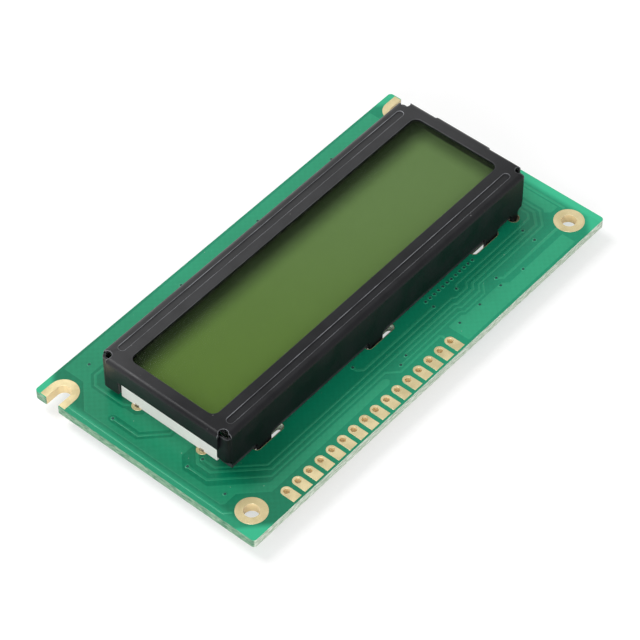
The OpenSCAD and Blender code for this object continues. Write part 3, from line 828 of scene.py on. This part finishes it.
# Front tracks, as rows of a width and the corners of a route, and filled areas by their outline.
FRONT_ROWS = (
    (0.5, (-7.6, -11.6), (-7.6, -12.4), (-6.85, -13.15), (9.9, -13.15)),
    (0.4, (-35.5, -6.2), (-35.5, -8.6), (-30.0, -14.1), (13.2, -14.1), (13.65, -14.55),
     (16.3, -14.55), (17.1, -13.75), (31.5, -13.75)),
    (0.5, (-35.0, -4.6), (-36.55, -6.15), (-36.55, -8.7), (-30.2, -15.05), (12.35, -15.05),
     (12.75, -15.45), (16.75, -15.45), (17.6, -14.6), (33.9, -14.6), (35.9, -12.6),
     (35.9, -8.7), (34.2, -7.0)),
    (0.45, (-37.95, -5.4), (-37.95, -9.25), (-31.25, -15.95), (-5.2, -15.95), (-3.5, -17.65),
     (5.8, -17.65), (6.1, -17.95), (6.1, -18.8)),
    (0.4, (15.1, -13.5), (15.75, -12.85), (34.2, -12.85), (35.0, -12.05), (35.0, -8.6),
     (33.8, -7.4)),
    (0.4, (-0.5, -16.2), (-0.2, -15.9), (12.15, -15.9), (12.7, -16.45), (17.05, -16.45),
     (18.0, -15.5), (34.4, -15.5), (36.75, -13.15), (36.75, -8.9), (34.6, -6.75)),
    (0.35, (-2.45, -16.8), (11.75, -16.8), (12.35, -17.4), (17.15, -17.4), (18.7, -15.85)),
    (0.55, (20.9, -16.8), (21.7, -17.6), (35.6, -17.6)),
    (0.4, (-38.4, 9.2), (-38.4, 4.1), (-35.05, 0.75), (-34.0, 0.75)),
    (0.45, (-34.6, 8.6), (-35.4, 9.9), (-35.4, 15.6), (-34.0, 17.0), (20.0, 17.0),
     (22.0, 15.0)),
    (0.45, (-40.0, -16.1), (-41.0, -15.1), (-41.0, 16.0)),
    (0.45, (39.7, -15.8), (39.7, 16.2)),
    (0.45, (-12.0, 15.0), (-11.2, 15.8), (23.0, 15.8), (24.0, 14.8)),
)
FRONT_LEFT = (
    (-6.4, -16.55), (-32.35, -16.55), (-38.85, -10.05), (-38.85, -5.2), (-37.05, -3.4), (-33.6, -3.4),
    (-33.6, 0.1), (-35.35, 0.1), (-39.1, 3.85), (-39.1, 9.5), (-38.7, 9.9), (-38.1, 9.9),
    (-37.7, 9.5), (-37.7, 4.4), (-34.7, 1.4), (-33.6, 1.4), (-33.6, 6.3), (-34.9, 6.3),
    (-35.8, 7.2), (-35.8, 9.3), (-36.05, 9.6), (-36.05, 15.9), (-34.25, 17.7), (35.8, 17.7),
    (36.2, 18.1), (36.2, 21.5), (-36.1, 21.5), (-36.1, 17.5), (-40.1, 13.5), (-40.1, -13.75),
    (-39.65, -14.2), (-37.15, -14.2), (-33.4, -17.95), (-6.4, -17.95), (-5.9, -17.45),
    (-5.9, -17.05),
)
FRONT_RIGHT = (
    (8.4, -17.45), (11.4, -17.45), (11.95, -17.95), (20.55, -17.95), (21.55, -18.95), (35.0, -18.95),
    (35.0, -21.5), (8.2, -21.5), (8.2, -17.65),
)


@dataclass(frozen=True)
class Board:
    """The circuit board with its plating and its etched copper.

    Attributes:
        plated: CAD nodes of bare gold on the board, each with its finish.
        rim: rounding of the gold's edges in millimetres.
        row_y: line of the row of vias in front of the bezel.
        row_x: first of that row.
        row_pitch: distance between them.
        row_count: how many there are.
        pad_x: middle of the first header pad.
        pad_pitch: distance between the header pads.
        pad_count: how many there are.
        through: vias that both faces show.
    """

    plated: tuple[tuple[str, str], ...] = (
        ("header_pads", "pale_gold"), ("mount_lands", "pale_gold"), ("open_slot_lands", "pale_gold"),
        ("tab_slot_rims", "dull_gold"), ("backlight_lands", "pale_gold"), ("contact_fingers", "pale_gold"),
    )
    rim: float = 0.018
    row_y: float = -11.6
    row_x: float = 9.9
    row_pitch: float = 1.05
    row_count: int = 12
    pad_x: float = -32.0
    pad_pitch: float = 2.54
    pad_count: int = 16
    through: tuple[Point, ...] = (
        (-7.6, -11.6), (9.9, -13.15), (15.1, -13.5), (31.5, -13.75), (31.15, -16.4), (-2.45, -16.8),
        (20.9, -16.8), (9.95, -18.3), (14.9, -18.3), (20.1, -18.3), (25.1, -18.85), (-35.5, -6.2),
        (-37.95, -5.4), (-38.2, -13.0), (-38.4, 9.2), (-33.0, 19.2), (-12.0, 19.5), (6.0, 19.5),
        (24.0, 19.5), (38.3, 4.0), (38.3, -8.0),
    )

    def row(self) -> tuple[Point, ...]:
        """Returns the row of vias in front of the bezel."""
        return tuple((self.row_x + i * self.row_pitch, self.row_y) for i in range(self.row_count))

    def build(self, bench: Bench) -> None:
        """Dresses the board and makes its gold and copper."""
        bench.dress("pcb", "mask_over_laminate")
        for node, finish in self.plated:
            bench.soft_copy(node, finish, Slot.GOLD, self.rim, 1)
        self.front_copper().build(bench)
        self.rear_copper().build(bench)

    def front_copper(self) -> Copper:
        """Returns the copper of the front face, round the bezel."""
        end = ((37.4, 15.2), (37.4, -13.3), (36.9, -13.9), (37.6, -14.8), (39.2, -14.8), (39.2, 15.2))
        vias = self.row() + self.through + ((-0.5, -16.2),)
        return Copper(Face.FRONT, tracks_from(FRONT_ROWS), (FRONT_LEFT, FRONT_RIGHT, end), vias)

    def rear_copper(self) -> Copper:
        """Returns the copper of the rear face, round the pottings and the chips."""
        pads = [self.pad_x + i * self.pad_pitch for i in range(self.pad_count)]
        rows, vias = [], []
        for i, x in enumerate(pads[:4]):
            lane, rise = -12.9 - 0.6 * i, -21.6 + 0.75 * i
            rows.append((0.35, (x, -18.9), (x, lane - 0.7), (x + 0.7, lane), (rise - 0.7, lane),
                         (rise, lane + 0.7), (rise, -6.6), (rise + 2.6, -4.0)))
        for i in (4, 6, 10, 13, 15):
            rows.append((0.4, (pads[i], -18.9), (pads[i], -17.3)))
            vias.append((pads[i], -17.1))
        for chip, i in ((-18.0, 5), (-15.0, 7), (-12.0, 8), (-5.0, 11), (-1.0, 12), (3.0, 14)):
            bend = -16.9 - abs(pads[i] - chip)
            rows.append((0.5, (chip, -15.9), (chip, -16.9), (pads[i], bend), (pads[i], -18.9)))
        rows += [
            (0.5, (-9.07, -15.9), (-9.07, -18.9)),
            (0.6, (8.0, -15.9), (8.0, -17.0), (8.6, -17.6), (20.4, -17.6), (21.0, -17.0), (21.0, -15.9)),
        ]
        rows += [(0.5, (x, -15.9), (x, -17.5)) for x in (11.0, 14.0, 17.0)]
        risers = ((-15.0, -4.6), (-12.0, -4.2), (11.0, -2.2), (14.0, -4.0), (17.0, -3.6))
        rows += [(0.35, (x, -14.1), (x, top)) for x, top in risers]
        rows += [
            (0.35, (-18.0, -14.1), (-18.0, -12.4), (-17.2, -11.6), (-17.2, -4.2)),
            (0.35, (-9.0, -14.1), (-9.0, -5.4), (-10.6, -3.8)),
            (0.35, (8.0, -14.1), (8.0, -6.2), (10.1, -4.1), (10.1, -2.2)),
            (0.35, (21.0, -14.1), (21.0, -6.8), (18.7, -4.5), (18.7, -2.4)),
            (0.4, (-5.0, -14.1), (-5.0, -12.5)), (0.4, (-1.0, -14.1), (-1.0, -12.7)),
            (0.4, (3.0, -14.1), (3.0, -13.0), (4.5, -11.5), (4.5, -8.2)),
            (0.9, (-34.15, -5.6), (-34.15, -12.2)), (0.9, (-34.15, 8.7), (-34.15, 16.2)),
        ]
        vias += [(-5.0, -12.3), (-1.0, -12.5), (4.5, -8.0), (-34.15, -12.3)]
        for y in (1.55 + 0.8 * k for k in range(-2, 3)):
            rows.append((0.35, (-8.4, y), (-4.0, y), (-3.0, y + 1.0), (3.0, y + 1.0), (4.0, y), (9.6, y)))
        for middle, reach in ((-15.0, 7.0), (15.0, 6.0)):
            for i in range(-5, 6):
                near, away = middle + 1.1 * i, middle + 1.45 * i
                start = 1.55 + math.sqrt(reach ** 2 - (1.1 * i) ** 2) - 0.6
                bends = ((near, 9.7 - abs(away - near)), (away, 9.7)) if i else ()
                rows.append((0.3, (near, start), *bends, (away, 10.4)))
                vias.append((away, 10.6))
        pours = (
            ((-40.6, -13.6), (-36.6, -13.6), (-36.0, -13.0), (-36.0, 14.2), (-40.6, 14.2)),
            ((-32.2, -8.2), (-31.6, -8.8), (-24.0, -8.8), (-24.0, 11.9), (-32.2, 11.9)),
            ((23.8, -8.6), (40.6, -8.6), (40.6, 14.2), (36.4, 14.2), (34.2, 12.0), (23.8, 12.0)),
            ((24.4, -20.8), (34.4, -20.8), (34.4, -14.7), (34.9, -14.2), (40.6, -14.2), (40.6, -12.6),
             (24.4, -12.6)),
            ((-35.6, 16.0), (35.6, 16.0), (35.6, 21.0), (-35.6, 21.0)),
        )
        vias += [(x, y) for x in (-30.0, -26.2, 26.4, 31.0) for y in (-7.2, -1.0, 4.6, 10.4)]
        return Copper(Face.REAR, tracks_from(rows), pours, self.row() + self.through + tuple(vias))


# ---- Bezel, cell and backlight ----


@dataclass(frozen=True)
class Bezel:
    """The folded steel bezel.

    Attributes:
        round: rounding of the sheet's cut and pressed edges in millimetres.
        window: length and width of the window.
        margin: width of the strip round the window that has fainter wear marks and painted highlights.
        spared: their share of the full strength there.
    """

    round: float = 0.08
    window: Point = (66.8, 16.8)
    margin: float = 0.3
    spared: float = 0.2

    def build(self, bench: Bench) -> None:
        """Makes the bezel from the CAD shell with its edges rounded."""
        form = bench.copy("bezel")
        bench.soften(form, self.round, 2, 30.0)
        self.spare_window(bench, form)
        bench.place("bezel_finished", form, "satin_black_paint", Slot.STEEL, ("bezel",))

    def spare_window(self, bench: Bench, form: Form) -> None:
        """Lowers the wear marks and painted highlights round the window."""
        low, high = bench.box("bezel")
        middle = (low + high) / 2
        marks = form.faces.layers.float["edge"]
        for face in form.faces:
            spot = face.calc_center_median() - middle
            if all(abs(spot[i]) < self.window[i] / 2 + self.margin for i in range(2)):
                face[marks] *= self.spared


@dataclass(frozen=True)
class Cell:
    """The liquid crystal cell: film over glass over an olive reflector.

    Attributes:
        seam: gap left between the film and the glass, in millimetres.
        rim: rounding of the film's and the glass's edges.
    """

    seam: float = 0.01
    rim: float = 0.04

    def build(self, bench: Bench) -> None:
        """Makes the two clear sheets and dresses what lies under them."""
        self.sheet(bench, "front_polariser", "polariser_film", Slot.POLARISER)
        self.sheet(bench, "front_glass", "float_glass", Slot.GLASS)
        for node, finish in (
            ("liquid_crystal_film", "reflective_olive"), ("cell_seal", "seal_epoxy"),
            ("rear_glass", "float_glass"), ("rear_polariser", "mirror_film"),
            ("elastomer_strip_near", "zebra_rubber"), ("elastomer_strip_far", "zebra_rubber"),
        ):
            bench.dress(node, finish)

    def sheet(self, bench: Bench, node: str, finish: str, slot: Slot) -> None:
        """Makes one clear sheet with rounded edges, a seam's width thinner than its space."""
        low, high = bench.box(node)
        form = bmesh.new()
        bmesh.ops.create_cube(form, size=1.0)
        size = high - low - Vector((0.0, 0.0, self.seam))
        bmesh.ops.scale(form, vec=size, verts=form.verts)
        middle = (low + high) / 2 + Vector((0.0, 0.0, self.seam / 2))
        bmesh.ops.translate(form, vec=middle, verts=form.verts)
        bench.soften(form, self.rim)
        bench.place(f"{node}_sheet", form, finish, slot, (node,))


@dataclass(frozen=True)
class Backlight:
    """The white case with its board of LEDs and its two soldered leads.

    Attributes:
        rim: rounding of the moulding's edges in millimetres.
    """

    rim: float = 0.1

    def build(self, bench: Bench) -> None:
        """Makes the case and dresses what it holds."""
        bench.soft_copy("backlight_case", "white_moulding", Slot.WHITE, self.rim)
        bench.dress("backlight_diffuser", "milky_sheet")
        bench.dress("led_board", "white_coated_board")
        bench.dress("led_dies", "led_crystal")
        bench.soft_copy("backlight_leads", "tinned_metal", Slot.TINNED, 0.04)
        bench.soft_copy("lead_solder", "dull_solder", Slot.TINNED, 0.08)


# ---- Rear of the board ----


@dataclass(frozen=True)
class Rear:
    """The potted dies and chips on the rear face.

    Attributes:
        rim: rounding of the chips' edges in millimetres.
        steps: steps of a potting's spin.
        ripple: how far a potting's outline wanders.
    """

    rim: float = 0.05
    steps: int = 96
    ripple: float = 0.35

    def build(self, bench: Bench) -> None:
        """Makes the pottings and chips and dresses the dies."""
        for seed, node in enumerate(("controller", "driver")):
            self.potting(bench, f"{node}_potting", float(seed))
            bench.dress(f"{node}_die", "bare_silicon")
        bench.soft_copy("chip_resistors", "black_glaze", Slot.RESISTOR, self.rim)
        bench.soft_copy("chip_capacitors", "tan_ceramic", Slot.CAPACITOR, self.rim)
        bench.soft_copy("chip_terminals", "tinned_metal", Slot.TINNED, self.rim)
        bench.soft_copy("chip_solder", "tinned_metal", Slot.TINNED, 0.06)

    def potting(self, bench: Bench, node: str, seed: float) -> None:
        """Makes one potting: a spun drop whose edge wanders as it flowed."""
        low, high = bench.box(node)
        centre = (low + high) / 2
        reach, height = (high.x - low.x) / 2 - self.ripple, high.z - low.z
        form = bmesh.new()
        section = [
            form.verts.new((reach * math.sin(a), 0.0, -height * math.cos(a) ** 0.8))
            for a in (math.pi / 2 * i / 12 for i in range(13))
        ]
        edges = [form.edges.new(pair) for pair in zip(section, section[1:])]
        bmesh.ops.spin(
            form, geom=section + edges, cent=(0.0, 0.0, 0.0), axis=(0.0, 0.0, 1.0),
            angle=math.tau, steps=self.steps, use_merge=True,
        )
        bmesh.ops.remove_doubles(form, verts=form.verts, dist=0.001)
        for vert in form.verts:
            flat = Vector((vert.co.x, vert.co.y))
            if flat.length > 0.01:
                way = flat.normalized()
                wander = noise.noise(Vector((way.x * 1.3, way.y * 1.3, seed * 7.0)))
                push = self.ripple * (wander + 0.25) * (flat.length / reach) ** 2
                vert.co += Vector((way.x, way.y, 0.0)) * push
        bmesh.ops.holes_fill(form, edges=[e for e in form.edges if e.is_boundary])
        bmesh.ops.recalc_face_normals(form, faces=form.faces)
        bmesh.ops.translate(form, vec=(centre.x, centre.y, high.z), verts=form.verts)
        bench.place(f"{node}_drop", form, "black_potting", Slot.POTTING, (node,))


# ---- Studio ----


@dataclass(frozen=True)
class Studio:
    """Camera, floor, world and lamps.

    Attributes:
        aim: point that the camera looks at, in metres.
        distance: camera's distance from it.
        azimuth: direction of the camera seen from the aim, in degrees from +X.
        elevation: its height over the board's plane in degrees.
        roll: turn round the line of sight in degrees.
        lens: focal length in millimetres on a 36 mm sensor.
        floor_size: width of the floor in metres.
        world_strength: strength of the world's light on the module, and as seen behind it.
    """

    aim: tuple[float, float, float] = (-0.003502, -0.00159, 0.0038)
    distance: float = 0.44381
    azimuth: float = 220.584
    elevation: float = 48.616
    roll: float = -0.122
    lens: float = 162.55
    floor_size: float = 4.0
    world_strength: Span = (0.34, 1.0)

    def build(self) -> None:
        """Sets up everything that isn't part of the module."""
        scene = bpy.context.scene
        scene.view_settings.view_transform = "Standard"
        self.camera(scene)
        self.world(scene)
        self.floor()
        self.lamp("softbox_above", (-0.10, 0.41, 0.67), 0.36, 3.6)
        self.lamp("softbox_low", (0.42, 0.58, 0.30), 0.3, 0.45)
        self.lamp("softbox_near", (-0.60, -0.32, 0.28), 0.5, 3.4)

    def camera(self, scene: bpy.types.Scene) -> None:
        """Adds the camera, aimed and rolled."""
        lens = bpy.data.cameras.new("camera")
        lens.lens, lens.sensor_width = self.lens, 36.0
        lens.clip_start, lens.clip_end = 0.01, 20.0
        turn, rise = math.radians(self.azimuth), math.radians(self.elevation)
        out = Vector((math.cos(turn) * math.cos(rise), math.sin(turn) * math.cos(rise), math.sin(rise)))
        camera = bpy.data.objects.new("camera", lens)
        facing = (-out).to_track_quat("-Z", "Y").to_matrix().to_4x4()
        place = Matrix.Translation(Vector(self.aim) + out * self.distance)
        camera.matrix_world = place @ facing @ Matrix.Rotation(math.radians(self.roll), 4, "Z")
        scene.collection.objects.link(camera)
        scene.camera = camera

    def seen(self, graph: Graph) -> Socket:
        """Returns 1 for rays that show the backdrop: camera, glossy and transmission rays."""
        path = graph.add("ShaderNodeLightPath").outputs
        plain = graph.math("MAXIMUM", path["Is Camera Ray"], path["Is Glossy Ray"])
        return graph.math("MAXIMUM", plain, path["Is Transmission Ray"])

    def world(self, scene: bpy.types.Scene) -> None:
        """Lights the module evenly, with white behind it."""
        world = bpy.data.worlds.new("white_tent")
        graph = blank_graph(world)
        strength = graph.remap(self.seen(graph), 0.0, 1.0, *self.world_strength)
        sky = graph.add("ShaderNodeBackground", {"Color": (1.0, 1.0, 1.0, 1.0), "Strength": strength})
        graph.add("ShaderNodeOutputWorld", {0: sky.outputs[0]})
        scene.world = world

    def floor(self) -> None:
        """Adds the pale floor, which shows white but keeps the module's shadow."""
        material = bpy.data.materials.new("pale_floor")
        graph = blank_graph(material)
        seen = self.seen(graph)
        tone = graph.blend(seen, (0.78, 0.78, 0.77), (0.46, 0.46, 0.46))
        paint = graph.add("ShaderNodeBsdfDiffuse", {"Color": tone})
        strength = graph.times(seen, 0.6)
        glow = graph.add("ShaderNodeEmission", {"Color": (1.0, 1.0, 1.0, 1.0), "Strength": strength})
        both = graph.add("ShaderNodeAddShader", {0: paint.outputs[0], 1: glow.outputs[0]})
        graph.add("ShaderNodeOutputMaterial", {0: both.outputs[0]})
        form = bmesh.new()
        bmesh.ops.create_grid(form, x_segments=1, y_segments=1, size=self.floor_size / 2)
        bmesh.ops.translate(form, vec=(0.0, 0.0, -0.0001), verts=form.verts)
        stand("floor", form, material)

    def lamp(self, name: str, place: tuple[float, float, float], size: float, watts: float) -> None:
        """Adds a square softbox that faces the module, with its place and size in metres."""
        light = bpy.data.lights.new(name, "AREA")
        light.shape, light.size, light.energy = "SQUARE", size, watts
        lamp = bpy.data.objects.new(name, light)
        facing = (-Vector(place)).to_track_quat("-Z", "Y").to_matrix().to_4x4()
        lamp.matrix_world = Matrix.Translation(place) @ facing
        bpy.context.scene.collection.objects.link(lamp)


def main() -> None:
    """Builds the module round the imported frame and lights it."""
    logging.basicConfig(level=logging.INFO, format="%(name)s: %(message)s")
    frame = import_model()
    bench = Bench(frame["nodes"])
    for assembly in (Board(), Bezel(), Cell(), Backlight(), Rear()):
        assembly.build(bench)
    Studio().build()


if __name__ == "__main__":
    main()
